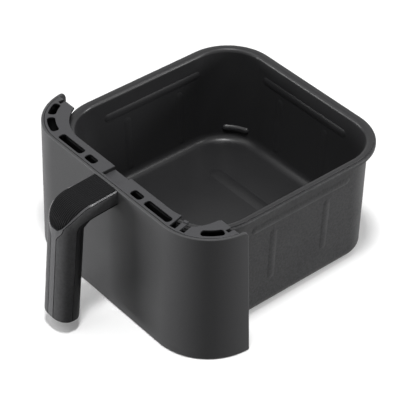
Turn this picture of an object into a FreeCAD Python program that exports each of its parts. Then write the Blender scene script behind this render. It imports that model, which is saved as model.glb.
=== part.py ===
import FreeCAD, Part
import math
import os

# Air fryer drawer. Millimetres, +Z up, the handle points to -Y, and the origin is the centre of the
# outer pan's flat underside. Every size is written once here and the fits follow from it.

V = FreeCAD.Vector
X_AXIS = V(1, 0, 0)
Z_AXIS = V(0, 0, 1)

# Fits
seam = 0.2              # joint line between two neighbouring covers
fit = 0.3               # between parts that slip together
screw_play = 0.1        # round a screw's shank
pivot_play = 0.06       # round the catch finger's barrel
overshoot = 1.0         # how far a cutting shape reaches past a face
touch = 0.01            # two points nearer than this are one

# Outer pan: pressed sheet
sheet = 0.8
pan_height = 121.6
pan_half = 104.25       # outside half width under the flange
pan_lean = 6.5          # how far each wall leans in at the foot
pan_corner = 41.35      # outside corner radius under the flange
pan_foot_corner = 26.0
pan_foot_round = 12.0
flange_width = 6.75
rim_drop = 3.4          # height of the turned-down rim
rim_round = 1.8
mouth_round = 3.8       # bend between wall and flange, on the inside

# Cooking pot, nested in the pan
pot_gap = 0.6
pot_floor = 26.5        # height of the cooking surface
pot_back_lean = 4.0     # extra lean of the front and back walls
pot_foot_corner = 46.0
pot_foot_round = 9.0
pot_mouth_round = 4.0
pot_flange_set_back = 2.5

# Pressed beads
bead_half = 4.0         # half width on the wall
bead_rise = 0.8
bead_from_corner = 10.9
bead_below_rim = 20.5
rib_rise = 0.5
rib_spacing = 61.0
rib_below_rim = 34.0    # upper end of a rib
rib_above_floor = 11.1  # lower end of a rib
bead_offset = 4.5       # the beads sit a little towards the back
floor_bead_length = 98.0
floor_bead_spacing = 76.0
floor_bead_half = 6.5
floor_bead_rise = 0.9
ledge_radius = 4.0
ledge_rise = 2.2
ledge_sweep = 26.0      # degrees round the pot's corner
ledge_turn = 10.5       # degrees past the corner's middle
ledge_above_floor = 12.0

# Front panel
side_hollow = 10.4      # inner wall to the panel's side, along the top edge
front_hollow = 9.0      # inner wall to the panel's front, along the top edge
front_rise = 8.7        # top edge above the pan's rim
panel_corner = 49.8
panel_flare = 5.4       # how far the face comes forward at the foot
panel_side_flare = 3.4
panel_wall = 2.6
panel_bottom = 0.6
panel_end_round = 5.5
panel_lip_round = 0.7

# Inner wall behind the panel
wall_gap = 0.7          # inner wall to pan rim
wall_thick = 2.2
wall_wrap = 27.0        # how far the wall runs back along the rim
wall_lift = 0.6         # wall's lower edge above the panel's

# Slotted cap
cap_plate = 2.4
cap_cover = 4.3         # how far the cap reaches over the rim
cap_wrap = 28.0         # how far the cap runs back along the rim
cap_edge_round = 0.6
cap_end_round = 1.6
vent_width = 7.6
vent_margin = 2.2       # vent to the cap's outer edge
vent_round = 3.0
vent_land = 12.0        # recess to the first vent
short_vent = 13.5
vent_web = 5.0
vent_from_corner = 1.1
left_vent_arcs = ((9.0, 38.5), (44.0, 67.5))
right_vent_arcs = ((39.5, 67.5),)
slit_from_edge = 10.5
slit_width = 4.0
slit_length = 6.5
recess_half = 11.2
recess_depth = 4.0
recess_skin = 1.8
scallop_radius = 38.7   # the inner edge is drawn back beside the catch
scallop_left = 15.5     # from the centre of the cap's corner
scallop_ahead = 8.9

# Catch finger between two slots at the right
catch_turn = 13.0       # degrees round the cap's corner
catch_window = 15.4
catch_margin = 2.0
finger_width = 4.2
finger_thick = 2.2
finger_drop = 0.9
finger_tip = 2.6
finger_tip_rise = 0.8
barrel_radius = 1.0
cheek_thick = 2.4
cheek_wrap = 1.0

# Rail under the front
rail_thick = 2.5
rail_inset = 3.0        # rail's underside above the panel's lower edge

# Bracket between the pan and the front
bracket_half = 38.0
bracket_below_rim = 21.6
bracket_height = 60.0
bracket_sheet = 2.0
bracket_screw_x = 28.0
bracket_screw_inset = 12.0
nut_width = 7.0
nut_height = 3.0

# Screws
m3 = 1.5
m4 = 2.0
head_ratio = 1.85       # head radius over shank radius
head_height_ratio = 1.3
cross_width = 0.8
cross_reach_ratio = 0.6  # half length of the cross over the head's radius
post_radius = 4.2
post_x = 52.0
post_below_top = 26.3
post_pitch = 37.0
post_rows = 3
post_grip = 8.0         # thread length in a post
boss_radius = 3.0
boss_margin = 2.0       # recess to boss
boss_drop = 3.8
ear_thick = 3.0
ear_half = 4.2
cap_thread = 5.2
rail_post_x = (20.0, 60.0)
rail_post_height = 9.0
rail_post_radius = 4.4

# Handle
handle_half = 17.0
arm_half_height = 8.25
grip_half_depth = 12.5
arm_squareness = 7.0
grip_squareness = 2.4
arm_below_top = 8.45    # arm's centre line under the panel's top edge
arm_reach = 40.5        # panel face to the bend's corner point
arm_slope = 3.5
grip_lean = 6.3
grip_foot = 11.97       # height of the handle's lower end
bend_radius = 16.0
change_lead = 5.42      # the section starts to change this far before the bend
cover_thick = 3.0
end_round = 2.2
bezel = 1.1
insert_half = 15.0
insert_depth = 2.0
tongue_length = 17.0    # the insert narrows over this length
tongue_past_bend = 0.5  # the insert's tip past the bend's end
tongue_blunt = 0.6      # the tip is cut square by this much
spine_half = 4.2
funnel_lead = 3.0       # the strip's funnel starts this far before the tip
funnel_length = 13.0
side_split_arm = -0.62  # share of the half height where side and inner covers meet
side_split_grip = 0.1
plug_thick = 3.4
handle_plate_half = 12.4
handle_plate_below = 11.35  # under the arm's centre line
handle_plate_above = 1.55
handle_plate_thick = 1.5
handle_screw_x = 7.6
handle_screw_below = 2.25
handle_thread = 9.0
cover_screw_lifts = (28.0, 76.0)  # above the handle's lower end
cover_thread = 7.0

# Sizes that follow
floor_bead_radius = (floor_bead_half ** 2 + floor_bead_rise ** 2) / (2 * floor_bead_rise)
bead_length = 2 * (pan_half - pan_corner - bead_from_corner)
rim_half = pan_half + flange_width
rim_corner = pan_corner + flange_width
pot_top = pan_height + sheet
wall_inner = rim_half + wall_gap
wall_outer = wall_inner + wall_thick
wall_corner = rim_corner + wall_gap + wall_thick
wall_end = rim_half - wall_wrap
panel_half = wall_outer + side_hollow + panel_wall
panel_front = wall_outer + front_hollow + panel_wall
panel_top = pan_height + front_rise
post_heights = [panel_top - post_below_top - post_pitch * row for row in range(post_rows)]
bracket_high = pan_height - bracket_below_rim
bracket_low = bracket_high - bracket_height
cap_end = rim_half - cap_wrap
cap_top = panel_top
cap_under = cap_top - cap_plate
cap_half = panel_half - panel_wall - fit
cap_front = panel_front - panel_wall - fit
cap_corner = panel_corner - panel_wall - fit
cap_centre_x = cap_half - cap_corner
cap_centre_y = cap_corner - cap_front
panel_end = panel_front - panel_corner
panel_tilt = math.atan2(panel_flare, panel_top - panel_bottom)
recess_edge = recess_half + recess_skin
recess_floor = cap_top - recess_depth
boss_x = recess_edge + boss_margin + boss_radius
slit_inner = cap_half - slit_from_edge
ear_top = cap_under - boss_drop
barrel_y = cap_corner - catch_margin - fit - barrel_radius
barrel_z = cap_under - cheek_wrap - barrel_radius
barrel_length = catch_window + 2 * (cheek_thick - fit)
arm_height = panel_top - arm_below_top
grip_drop = arm_height - arm_reach * math.tan(math.radians(arm_slope)) - grip_foot
handle_plate_low = arm_height - handle_plate_below
handle_plate_high = arm_height + handle_plate_above
handle_screw_z = arm_height - handle_screw_below


# Basic shapes

def polar(centre_x, centre_y, radius, degrees):
    """Point at an angle counted from -Y towards +X."""
    angle = math.radians(degrees)
    return V(centre_x + radius * math.sin(angle), centre_y - radius * math.cos(angle), 0)


def box(low, high):
    """Box between two corners."""
    size = high - low
    return Part.makeBox(size.x, size.y, size.z, low)


def rod(start, end, radius):
    """Cylinder from one point to another."""
    along = end - start
    return Part.makeCylinder(radius, along.Length, start, along)


def capsule(start, end, radius):
    """Cylinder with a ball at each end."""
    balls = [Part.makeSphere(radius, point) for point in (start, end)]
    return rod(start, end, radius).fuse(balls)


def rounded_rectangle(half_x, half_y, radius, z):
    """Closed wire: a rectangle with round corners, centred on the Z axis."""
    edges = []
    for turn, x, y in ((0, 1, -1), (90, 1, 1), (180, -1, 1), (270, -1, -1)):
        cx = x * (half_x - radius)
        cy = y * (half_y - radius)
        points = [polar(cx, cy, radius, turn + step) + V(0, 0, z) for step in (0, 45, 90)]
        if edges:
            edges.append(Part.makeLine(edges[-1].Vertexes[-1].Point, points[0]))
        edges.append(Part.Arc(*points).toShape())
    edges.append(Part.makeLine(edges[-1].Vertexes[-1].Point, edges[0].Vertexes[0].Point))
    return Part.Wire(edges)


def prism(wire, height):
    """Solid above a flat closed wire."""
    return Part.Face(wire).extrude(V(0, 0, height))


def edges_at(shape, z):
    """Edges that lie at one height."""
    return [e for e in shape.Edges if all(abs(v.Z - z) < touch for v in e.Vertexes)]


def basin(foot, top, foot_z, top_z, foot_round):
    """Tapered solid between two (half x, half y, corner) outlines, rounded at the foot."""
    wires = [rounded_rectangle(*foot, foot_z), rounded_rectangle(*top, top_z)]
    solid = Part.makeLoft(wires, True, True)
    return solid.makeFillet(foot_round, edges_at(solid, foot_z))


# Pan and pot

def pan_outline(z, inset):
    """Half widths and corner radius of the pan's outside at a height, drawn in by an inset."""
    lift = z / pan_height
    half = pan_half - pan_lean * (1 - lift) - inset
    corner = pan_foot_corner + (pan_corner - pan_foot_corner) * lift - inset
    return half, half, corner


def pot_outline(z, inset):
    """Half widths and corner radius of the pot's outside at a height, drawn in by an inset."""
    low = pot_floor - sheet
    lift = (z - low) / (pan_height - low)
    half_x = pan_outline(z, sheet + pot_gap + inset)[0]
    top_corner = pan_corner - sheet - pot_gap
    corner = pot_foot_corner + (top_corner - pot_foot_corner) * lift - inset
    return half_x, half_x - pot_back_lean * (1 - lift), corner


def wall_beads(surface, outward, shrink):
    """Bead and two ribs for each of the right, back and left walls.

    surface gives a wall's distance from the centre (half x, half y) at a height; shrink thins the tools.
    """
    low = pot_floor + rib_above_floor
    high = pan_height - rib_below_rim
    bead_z = pan_height - bead_below_rim
    tools = []
    for turn, pick, shift in ((0, 0, bead_offset), (90, 1, 0), (180, 0, -bead_offset)):
        lines = [(bead_rise, (bead_z, shift - bead_length / 2), (bead_z, shift + bead_length / 2))]
        for side in (-rib_spacing / 2, rib_spacing / 2):
            lines.append((rib_rise, (low, shift + side), (high, shift + side)))
        for rise, *line in lines:
            radius = (bead_half ** 2 + rise ** 2) / (2 * rise)
            offset = outward * (rise - radius)
            ends = [V(surface(z)[pick] + offset, along, z) for z, along in line]
            tools.append(capsule(*ends, radius - shrink).rotated(V(0, 0, 0), Z_AXIS, turn))
    return tools


def flat_rim(half, corner, top, drop, thick, edge_round, inside):
    """Flange ring with a turned-down edge, round an inside outline."""
    outer = prism(rounded_rectangle(half, half, corner, top - drop), drop)
    outer = outer.makeFillet(edge_round, edges_at(outer, top))
    inner_wire = rounded_rectangle(half - thick, half - thick, corner - thick, top - drop)
    inner = prism(inner_wire, drop - thick)
    inner = inner.makeFillet(edge_round - thick / 2, edges_at(inner, top - thick))
    hole = prism(rounded_rectangle(*inside, top - thick), thick)
    return outer.cut([inner, hole])


def rounded_mouth(shell, outside, top, radius):
    """Bend the sheet between wall and flange: the outside half width tells the wall's edges from the rest."""
    def near_wall(edge):
        reach = max(edge.BoundBox.XMax, -edge.BoundBox.XMin, edge.BoundBox.YMax, -edge.BoundBox.YMin)
        return reach < outside + sheet

    under = [e for e in edges_at(shell, top - sheet) if near_wall(e)]
    shell = shell.makeFillet(radius - sheet, under)
    return shell.makeFillet(radius, [e for e in edges_at(shell, top) if near_wall(e)])


def outer_pan():
    """Pressed pan with flange, turned-down rim and beads."""
    outer = basin(pan_outline(0, 0), pan_outline(pan_height, 0), 0, pan_height, pan_foot_round)
    foot = pan_outline(sheet, sheet)
    inner = basin(foot, pan_outline(pan_height, sheet), sheet, pan_height, pan_foot_round - sheet)

    def outside(z):
        return pan_outline(z, 0)

    outer = outer.fuse(wall_beads(outside, 1, 0))
    inner = inner.fuse(wall_beads(outside, 1, sheet))
    rim = flat_rim(rim_half, rim_corner, pan_height, rim_drop, sheet, rim_round,
                   pan_outline(pan_height, sheet / 2))
    pan = outer.fuse(rim).cut(inner).removeSplitter()
    return rounded_mouth(pan, pan_half, pan_height, mouth_round)


def corner_ledges(radius):
    """Pressed ledges in the pot's four corners that would carry a plate above the floor."""
    z = pot_floor + ledge_above_floor
    half_x, half_y, corner = pot_outline(z, sheet)
    reach = corner + ledge_radius - ledge_rise
    tools = []
    for turn, x, y in ((45, 1, -1), (135, 1, 1), (225, -1, 1), (315, -1, -1)):
        centre = V(x * (half_x - corner), y * (half_y - corner), z)
        first = turn - ledge_turn - ledge_sweep / 2
        ring = Part.makeTorus(reach, radius, centre, Z_AXIS, 0, 360, ledge_sweep)
        ring = ring.rotated(centre, Z_AXIS, first - 90)
        ends = [polar(centre.x, centre.y, reach, first + sweep) + V(0, 0, z) for sweep in (0, ledge_sweep)]
        tools.append(ring.fuse([Part.makeSphere(radius, end) for end in ends]))
    return tools


def floor_beads(radius):
    """Two beads pressed up in the pot's floor."""
    z = pot_floor + floor_bead_rise - floor_bead_radius
    tools = []
    for side in (-1, 1):
        y = side * floor_bead_spacing / 2
        x = floor_bead_length / 2
        tools.append(capsule(V(-x, y, z), V(x, y, z), radius))
    return tools


def cooking_pot():
    """Non-stick pot whose flange lies on the pan's flange."""
    low = pot_floor - sheet
    outer = basin(pot_outline(low, 0), pot_outline(pot_top, 0), low, pot_top, pot_foot_round + sheet)
    foot = pot_outline(pot_floor, sheet)
    inner = basin(foot, pot_outline(pot_top, sheet), pot_floor, pot_top, pot_foot_round)

    def inside(z):
        return pot_outline(z, sheet)

    outer = outer.cut(wall_beads(inside, -1, sheet) + floor_beads(floor_bead_radius - sheet))
    inner = inner.cut(wall_beads(inside, -1, 0) + floor_beads(floor_bead_radius))
    outer = outer.cut(corner_ledges(ledge_radius - sheet))
    inner = inner.cut(corner_ledges(ledge_radius))
    set_half = rim_half - pot_flange_set_back
    set_corner = rim_corner - pot_flange_set_back
    flange = prism(rounded_rectangle(set_half, set_half, set_corner, pan_height), sheet)
    flange = flange.makeFillet(sheet / 2, edges_at(flange, pot_top))
    pot = outer.fuse(flange).cut(inner).removeSplitter()
    return rounded_mouth(pot, pot_outline(pan_height, 0)[0], pot_top, pot_mouth_round)


# Front: outlines that run round three sides of the pan

def front_curve(half, front, corner, end, z):
    """Points of an outline from the right end, round the front, to the left end."""
    cx = half - corner
    cy = corner - front
    stop = math.degrees(math.acos(max(0.0, min(1.0, (cy + end) / corner))))
    right = [polar(cx, cy, corner, stop * share) + V(0, 0, z) for share in (1, 0.5, 0)]
    left = [V(-p.x, p.y, p.z) for p in reversed(right)]
    return right, left


def front_edges(half, front, corner, end, z):
    """Edges of such an outline, from right to left."""
    right, left = front_curve(half, front, corner, end, z)
    return [Part.Arc(*right).toShape(), Part.makeLine(right[2], left[0]), Part.Arc(*left).toShape()]


def front_band(outer, inner, z):
    """Closed wire between two (half, front, corner, end) outlines."""
    out = front_edges(*outer, z)
    into = front_edges(*inner, z)
    ends = [Part.makeLine(out[-1].Vertexes[-1].Point, into[-1].Vertexes[-1].Point)]
    ends.append(Part.makeLine(into[0].Vertexes[0].Point, out[0].Vertexes[0].Point))
    return Part.Wire(Part.__sortEdges__(out + into + ends))


def panel_outline(z, inset):
    """Outline of the panel's outside at a height, drawn in by an inset."""
    drop = (panel_top - z) / (panel_top - panel_bottom)
    front = panel_front + panel_flare * drop - inset
    half = panel_half + panel_side_flare * drop - inset
    return half, front, panel_corner + panel_flare * drop - inset, panel_end


def panel_point(x, z, depth):
    """Point in the panel's flat front, at a depth behind its face."""
    return V(x, depth - panel_outline(z, 0)[1], z)


def face_normal():
    """Outward direction of the panel's flat front."""
    return V(0, -math.cos(panel_tilt), math.sin(panel_tilt))


def end_corner_cutter():
    """Tool that rounds the panel's upper rear corners."""
    r = panel_end_round
    reach = panel_half + panel_side_flare
    low = V(-reach, -panel_end - r, panel_top - r)
    high = V(reach, -panel_end + r, panel_top + r)
    block = box(low, high)
    return block.cut(rod(low, V(reach, low.y, low.z), r))


def front_panel():
    """Curved front with posts for the wall screws and the rail screws."""
    wires = []
    for z in (panel_bottom, panel_top):
        wires.append(front_band(panel_outline(z, 0), panel_outline(z, panel_wall), z))
    panel = Part.makeLoft(wires, True, True)
    rim = [e for e in edges_at(panel, panel_top) if e.BoundBox.YMin < -panel_front + panel_wall / 2
           or e.BoundBox.XMax > panel_half - touch or e.BoundBox.XMin < -panel_half + touch]
    rim = [e for e in rim if e.Length > 2 * panel_wall]
    panel = panel.makeFillet(panel_lip_round, rim)
    panel = panel.cut(end_corner_cutter())
    posts = []
    holes = []
    for z in post_heights:
        for x in (-post_x, post_x):
            posts.append(rod(panel_point(x, z, panel_wall / 2), V(x, -wall_outer, z), post_radius))
            holes.append(rod(V(x, -wall_outer - post_grip, z), V(x, -wall_outer, z), m3 + screw_play))
    for x, y in rail_posts():
        low = V(x, y, panel_bottom + rail_inset + rail_thick)
        high = low + V(0, 0, rail_post_height)
        posts.append(rod(low, high, rail_post_radius))
        holes.append(rod(low, high - V(0, 0, rail_thick / 2), m3 + screw_play))
    for x in (-handle_screw_x, handle_screw_x):
        start = panel_point(x, handle_screw_z, 0)
        reach = face_normal() * panel_wall
        holes.append(rod(start - reach * 2, start + reach, m4 + screw_play))
    return panel.fuse(posts).cut(holes).removeSplitter()


def rail_posts():
    """Places of the rail's screw posts, against the panel's inner face."""
    level = panel_bottom + rail_inset + rail_thick + rail_post_height
    y = panel_wall / 2 + rail_post_radius - panel_outline(level, 0)[1]
    return [(side * x, y) for x in rail_post_x for side in (-1, 1)]


def inner_wall():
    """Heat wall between the panel and the pan, with two ears for the cap's screws."""
    outer = (wall_outer, wall_outer, wall_corner, wall_end)
    inner = (wall_inner, wall_inner, wall_corner - wall_thick, wall_end)
    low = panel_bottom + wall_lift
    wall = prism(front_band(outer, inner, low), cap_under - low)
    wall = wall.fuse(end_plates(outer, low))
    ears = []
    cuts = [recess_block(fit), catch_space(-fit, cap_under - ear_thick - boss_drop, cap_top)]
    ear_y = ear_centre()
    for side in (-boss_x, boss_x):
        near = V(side - ear_half, ear_y - ear_half, ear_top - ear_thick)
        far = V(side + ear_half, -wall_inner - wall_thick / 2, ear_top)
        ears.append(box(near, far))
        cuts.append(rod(V(side, ear_y, ear_top - ear_thick), V(side, ear_y, ear_top), m3 + screw_play))
    for x, z in bracket_screw_places():
        cuts.append(rod(V(x, -wall_outer, z), V(x, -wall_inner, z), m4 + screw_play))
    for z in post_heights:
        for x in (-post_x, post_x):
            cuts.append(rod(V(x, -wall_outer, z), V(x, -wall_inner, z), m3 + screw_play))
    return wall.fuse(ears).cut(cuts).removeSplitter()


def end_plates(inner, low):
    """Plates at the wall's two ends that close the hollow front towards the panel."""
    wires = []
    for z in (low, cap_under):
        half, front, corner, end = panel_outline(z, panel_wall + fit)
        wires.append(front_band((half, front, corner, wall_end), inner, z))
    filled = Part.makeLoft(wires, True, True)
    reach = 2 * panel_half
    return filled.common(box(V(-reach, -wall_end - wall_thick, low), V(reach, -wall_end, cap_under)))


def ear_centre():
    """Distance of the cap screws in front of the pan's centre, as a Y value."""
    return -wall_outer - ear_half


def bottom_rail():
    """Strip that closes the front from below."""
    level = panel_bottom + rail_inset
    half, front, corner, end = panel_outline(level + rail_thick, panel_wall + fit)
    stop = wall_end + wall_thick + fit
    outer = (half, front, corner, stop)
    inner = (wall_outer + fit, wall_outer + fit, wall_corner + fit, stop)
    rail = prism(front_band(outer, inner, level), rail_thick)
    holes = []
    for x, y in rail_posts():
        holes.append(rod(V(x, y, level), V(x, y, level + rail_thick), m3 + screw_play))
    return rail.cut(holes)


# Slotted cap and catch finger

def recess_block(grow):
    """Block that carries the cap's centre recess, grown by a clearance."""
    half = recess_edge + grow
    low = V(-half, -cap_front + fit, recess_floor - recess_skin - grow)
    return box(low, V(half, -rim_half + cap_cover, cap_under))


def vent_spans():
    """X values of the short and the long vent on the right of the recess."""
    start = recess_edge + vent_land
    middle = start + short_vent
    return (start, middle), (middle + vent_web, cap_centre_x - vent_from_corner)


def straight_vent(start, end):
    """Vent along the front between two X values."""
    y = -cap_front + vent_margin + vent_width / 2
    wire = rounded_rectangle((end - start) / 2, vent_width / 2, vent_round, 0)
    tool = prism(wire, cap_plate * 3)
    return tool.translated(V((start + end) / 2, y, cap_under - cap_plate))


def curved_vent(start, end, side):
    """Vent round a corner between two angles; side is 1 right and -1 left."""
    outer = cap_corner - vent_margin
    inner = outer - vent_width
    edges = []
    middle = (start + end) / 2
    for radius, angles in ((outer, (start, middle, end)), (inner, (end, middle, start))):
        points = [polar(cap_centre_x, cap_centre_y, radius, angle) for angle in angles]
        if edges:
            edges.append(Part.makeLine(edges[-1].Vertexes[-1].Point, points[0]))
        edges.append(Part.Arc(*points).toShape())
    edges.append(Part.makeLine(edges[-1].Vertexes[-1].Point, edges[0].Vertexes[0].Point))
    tool = prism(Part.Wire(edges), cap_plate * 3)
    upright = [e for e in tool.Edges if abs(e.Vertexes[0].Z - e.Vertexes[-1].Z) > cap_plate]
    tool = tool.makeFillet(vent_round, upright).translated(V(0, 0, cap_under - cap_plate))
    return tool if side > 0 else tool.mirror(V(0, 0, 0), X_AXIS)


def to_corner(shape):
    """Move a shape drawn round the origin, facing -Y, to the catch's place on the cap's corner."""
    turned = shape.rotated(V(0, 0, 0), Z_AXIS, catch_turn)
    return turned.translated(V(cap_centre_x, cap_centre_y, 0))


def catch_space(shrink, low, high):
    """Window in the cap round the catch finger."""
    half = catch_window / 2 - shrink
    far = cap_corner - catch_margin - shrink
    near = cap_corner - (cap_front - rim_half + cap_cover) - 2 * finger_width
    return to_corner(box(V(-half, -far, low), V(half, -near, high)))


def scallop(low):
    """Tool that draws the cap's inner edge back on the catch's right."""
    foot = V(cap_centre_x - scallop_left, cap_centre_y - scallop_ahead, low)
    round_tool = rod(foot, V(foot.x, foot.y, cap_top + overshoot), scallop_radius)
    far = V(2 * cap_corner, cap_corner, cap_top + overshoot)
    right_side = to_corner(box(V(0, -cap_corner, low), far))
    return round_tool.common(right_side)


def catch_cheeks():
    """Two cheeks under the cap, beside the window, with the holes of the finger's barrel."""
    hole = rod(V(-barrel_length, -barrel_y, barrel_z), V(barrel_length, -barrel_y, barrel_z),
               barrel_radius + pivot_play)
    reach = barrel_radius + cheek_wrap
    cheeks = []
    for side in (-1, 1):
        xs = sorted((side * catch_window / 2, side * (catch_window / 2 + cheek_thick)))
        low = V(xs[0], -barrel_y - reach, barrel_z - reach)
        high = V(xs[1], -barrel_y + reach, cap_under + cap_plate / 2)
        cheeks.append(box(low, high))
    return [to_corner(cheek.cut(hole)) for cheek in cheeks]


def top_cap():
    """Slotted frame along the front's top edge, reaching over the rim."""
    outer = (cap_half, cap_front, cap_corner, cap_end)
    edge = rim_half - cap_cover
    inner = (edge, edge, rim_corner - cap_cover, cap_end)
    plate = prism(front_band(outer, inner, cap_under), cap_plate)
    ends = [e for e in edges_at(plate, cap_top) if e.BoundBox.YMin > -cap_end - touch]
    plate = plate.makeFillet(cap_end_round, ends)
    sides = [e for e in edges_at(plate, cap_top) if e.Length > 2 * (cap_half - edge)]
    plate = plate.makeFillet(cap_edge_round, sides)
    low = cap_under - overshoot
    adds = [recess_block(0)]
    cuts = []
    for side in (-boss_x, boss_x):
        foot = V(side, ear_centre(), ear_top)
        adds.append(rod(foot, foot + V(0, 0, boss_drop), boss_radius))
        cuts.append(rod(foot, foot + V(0, 0, cap_thread), m3 + screw_play))
    recess_low = V(-recess_half, -cap_front + recess_skin, recess_floor)
    cuts.append(box(recess_low, V(recess_half, -edge + overshoot, cap_top + overshoot)))
    for start, end in vent_spans():
        cuts.append(straight_vent(start, end))
        cuts.append(straight_vent(-end, -start))
    cuts += [curved_vent(start, end, -1) for start, end in left_vent_arcs]
    cuts += [curved_vent(start, end, 1) for start, end in right_vent_arcs]
    for x in (slit_inner, -slit_inner - slit_width):
        corner = V(x, -cap_end - slit_length, low)
        cuts.append(box(corner, V(x + slit_width, -cap_end + overshoot, cap_top + overshoot)))
    cuts.append(scallop(low))
    cuts.append(catch_space(0, low, cap_top + overshoot))
    cap = plate.fuse(adds).cut(cuts)
    return cap.fuse(catch_cheeks()).removeSplitter()


def catch_finger():
    """Finger with a barrel at its root and a raised tip."""
    top = cap_top - finger_drop
    low = top - finger_thick
    half = finger_width / 2
    tip_y = cap_corner - (cap_front - rim_half + cap_cover)
    root = -barrel_y - barrel_radius
    beam = box(V(-half, root, low), V(half, -tip_y, top))
    beam = beam.fuse(box(V(-half, root, barrel_z - barrel_radius), V(half, root + 2 * barrel_radius, top)))
    tip = box(V(-half, -tip_y - finger_tip, low), V(half, -tip_y, top + finger_tip_rise))
    barrel_end = V(barrel_length / 2, -barrel_y, barrel_z)
    barrel = rod(V(-barrel_end.x, barrel_end.y, barrel_end.z), barrel_end, barrel_radius)
    return to_corner(beam.fuse([tip, barrel]).removeSplitter())


# Bracket and fasteners

def bracket_screw_places():
    """X and Z of the four bracket screws."""
    levels = (bracket_low + bracket_screw_inset, bracket_high - bracket_screw_inset)
    return [(side * bracket_screw_x, z) for z in levels for side in (-1, 1)]


def pan_bracket():
    """Hat bracket whose edges stand on the pan's front wall."""
    t = bracket_sheet
    back = -pan_half + pan_lean
    hat = box(V(-bracket_half, -wall_inner, bracket_low), V(bracket_half, back, bracket_high))
    inside = V(t - bracket_half, t - wall_inner, bracket_low + t)
    hollow = box(inside, V(bracket_half - t, back, bracket_high - t))
    body = basin(pan_outline(0, 0), pan_outline(pan_height, 0), 0, pan_height, pan_foot_round)
    holes = []
    for x, z in bracket_screw_places():
        holes.append(rod(V(x, -wall_inner, z), V(x, t - wall_inner, z), m4 + screw_play))
    return hat.cut([hollow, body] + holes)


def hexagon(across, height):
    """Hexagonal prism on the XY plane."""
    radius = across / math.sqrt(3)
    corners = [polar(0, 0, radius, 60 * k) for k in range(7)]
    return prism(Part.makePolygon(corners), height)


def turned_to(shape, place, direction):
    """Put a shape drawn along +Z at a place, pointing in a direction."""
    moved = shape.copy()
    moved.Placement = FreeCAD.Placement(place, FreeCAD.Rotation(Z_AXIS, direction))
    return moved


def screw(radius, length, place, direction):
    """Cross-head screw: the head's underside is at the place, the shank runs in the direction."""
    head_radius = radius * head_ratio
    head_height = radius * head_height_ratio
    head = Part.makeCylinder(head_radius, head_height, V(0, 0, -head_height))
    head = head.makeFillet(head_height / 3, edges_at(head, -head_height))
    shank = Part.makeCylinder(radius, length)
    arm = head_radius * cross_reach_ratio
    half = cross_width / 2
    low = -head_height
    cross = [box(V(-arm, -half, low), V(arm, half, low / 2))]
    cross.append(box(V(-half, -arm, low), V(half, arm, low / 2)))
    return turned_to(head.fuse(shank).cut(cross).removeSplitter(), place, direction)


def weld_nuts():
    """Nuts behind the bracket's face."""
    nut = hexagon(nut_width, nut_height).cut(Part.makeCylinder(m4 + screw_play, nut_height))
    level = bracket_sheet - wall_inner
    return [turned_to(nut, V(x, level, z), V(0, 1, 0)) for x, z in bracket_screw_places()]


def bracket_screws():
    """Screws from the inner wall's front through the bracket into the nuts."""
    length = wall_thick + bracket_sheet + nut_height
    return [screw(m4, length, V(x, -wall_outer, z), V(0, 1, 0)) for x, z in bracket_screw_places()]


def wall_screws():
    """Screws from behind the inner wall into the panel's posts."""
    length = wall_thick + post_grip - screw_play
    places = [V(x, -wall_inner, z) for z in post_heights for x in (-post_x, post_x)]
    return [screw(m3, length, place, V(0, -1, 0)) for place in places]


def cap_screws():
    """Screws up through the wall's ears into the cap."""
    length = ear_thick + cap_thread - screw_play
    places = [V(x, ear_centre(), ear_top - ear_thick) for x in (-boss_x, boss_x)]
    return [screw(m3, length, place, Z_AXIS) for place in places]


def rail_screws():
    """Screws up through the rail into the panel's posts."""
    level = panel_bottom + rail_inset
    length = rail_post_height
    return [screw(m3, length, V(x, y, level), Z_AXIS) for x, y in rail_posts()]


# Handle: a rounded section carried along an arm, a bend and a grip

def smooth(share):
    """Soft step from 0 to 1."""
    share = max(0.0, min(1.0, share))
    return share * share * (3 - 2 * share)


def handle_lengths():
    """Lengths of the arm, the bend and the grip along the centre line, and the bend's angle."""
    turn = math.radians(90 - arm_slope - grip_lean)
    tangent = bend_radius * math.tan(turn / 2)
    arm = arm_reach / math.cos(math.radians(arm_slope)) - tangent
    grip = grip_drop / math.cos(math.radians(grip_lean)) - tangent
    return arm, bend_radius * turn, grip, turn


def centre_line(s):
    """Point and downward angle of the centre line at a length from the panel."""
    arm, bend, grip, turn = handle_lengths()
    slope = math.radians(arm_slope)
    start = panel_point(0, arm_height, -fit)
    first = min(s, arm)
    point = V(0, start.y - first * math.cos(slope), start.z - first * math.sin(slope))
    angle = slope + turn * max(0.0, min(1.0, (s - arm) / bend))
    forward = math.sin(slope) - math.sin(angle)
    downward = math.cos(angle) - math.cos(slope)
    point += V(0, bend_radius * forward, bend_radius * downward)
    rest = max(0.0, s - arm - bend)
    return point + V(0, -rest * math.cos(angle), -rest * math.sin(angle)), angle


def handle_section(s, inset):
    """Half width, half height and squareness of the handle's section, drawn in by an inset."""
    arm, bend, grip, turn = handle_lengths()
    change = smooth((s - arm + change_lead) / (bend + change_lead))
    left = max(0.0, end_round - (arm + bend + grip - s))
    tuck = end_round - math.sqrt(max(0.0, end_round ** 2 - left ** 2)) if inset == 0 else 0
    height = arm_half_height + (grip_half_depth - arm_half_height) * change
    square = arm_squareness + (grip_squareness - arm_squareness) * change
    return handle_half - inset - tuck, height - inset - tuck, square


def insert_tip():
    """Length of the insert's tip along the centre line."""
    arm, bend, grip, turn = handle_lengths()
    return arm + bend + tongue_past_bend


def insert_width(s):
    """Half width of the insert: full over the arm, then a quarter of an ellipse towards the tip."""
    share = max(0.0, s - insert_tip() + tongue_length) / tongue_length
    return insert_half * math.sqrt(max(0.0, 1 - share ** 2))


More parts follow.
